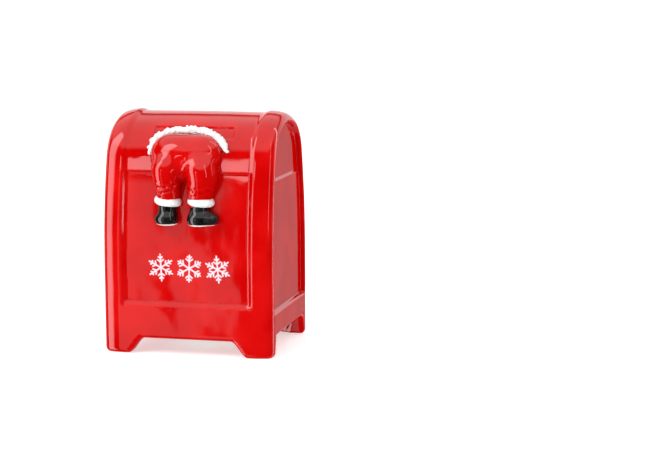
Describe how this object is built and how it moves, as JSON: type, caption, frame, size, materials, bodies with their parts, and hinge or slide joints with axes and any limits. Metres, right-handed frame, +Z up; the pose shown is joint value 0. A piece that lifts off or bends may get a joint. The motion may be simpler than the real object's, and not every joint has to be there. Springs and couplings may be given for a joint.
{
  "type": "ceramic coin bank",
  "caption": "Glazed ceramic coin bank shaped like a street letter box, with a coin slot in the roof, trousered legs in relief on the front and a stopper underneath.",
  "frame": {"origin": "on the floor, under the middle of the whole footprint, relief included", "axes": "+Z up, -Y out of the front with the relief, +X to the right seen from the front"},
  "size_m": [0.093, 0.0856, 0.127],
  "materials": {
    "red_glaze": "gloss",
    "red_glaze_relief": "gloss",
    "white_fur_glaze": "satin",
    "black_glaze": "gloss",
    "white_transfer": "gloss",
    "soft_plug": "matte"
  },
  "bodies": {
    "casting": {"mailbox_shell": "red_glaze", "trousers": "red_glaze_relief", "coat_fur_trim": "white_fur_glaze", "left_cuff": "white_fur_glaze", "right_cuff": "white_fur_glaze", "left_boot": "black_glaze", "right_boot": "black_glaze", "snowflake_left": "white_transfer", "snowflake_middle": "white_transfer", "snowflake_right": "white_transfer"},
    "plug": {"stopper": "soft_plug"}
  },
  "joints": [
    {"name": "stopper_pull", "type": "slide", "parent": "casting", "child": "plug", "axis": [0, 0, -1], "range_m": [0, 0.025]}
  ]
}
